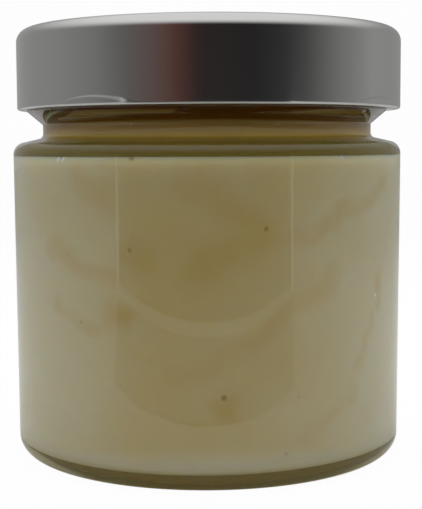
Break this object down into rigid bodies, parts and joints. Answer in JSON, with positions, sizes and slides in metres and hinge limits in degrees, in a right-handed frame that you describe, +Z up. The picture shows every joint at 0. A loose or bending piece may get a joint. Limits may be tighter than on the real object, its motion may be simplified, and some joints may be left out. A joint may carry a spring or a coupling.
{
  "type": "honey jar",
  "caption": "Shut round glass jar with a plain metal twist-off lid, filled with pale creamed honey under a layer of clear amber honey.",
  "frame": {"origin": "centre of the ring that the jar stands on, which is the middle of the bottom of the bounding box", "axes": "+Z up along the jar's axis to the lid; -Y is the side seen in the picture and +X is to the right of it"},
  "size_m": [0.0858, 0.0858, 0.093],
  "materials": {
    "glass": "clear polished flint glass",
    "lid_metal": "satin silver lacquered tinplate",
    "creamed_honey": "smooth opaque pale beige creamed honey with faint tan marbling and brown specks",
    "liquid_honey": "clear dark amber honey"
  },
  "bodies": {
    "root": {"glass_jar": "glass", "lid": "lid_metal", "creamed_honey": "creamed_honey", "liquid_honey": "liquid_honey"}
  },
  "joints": []
}
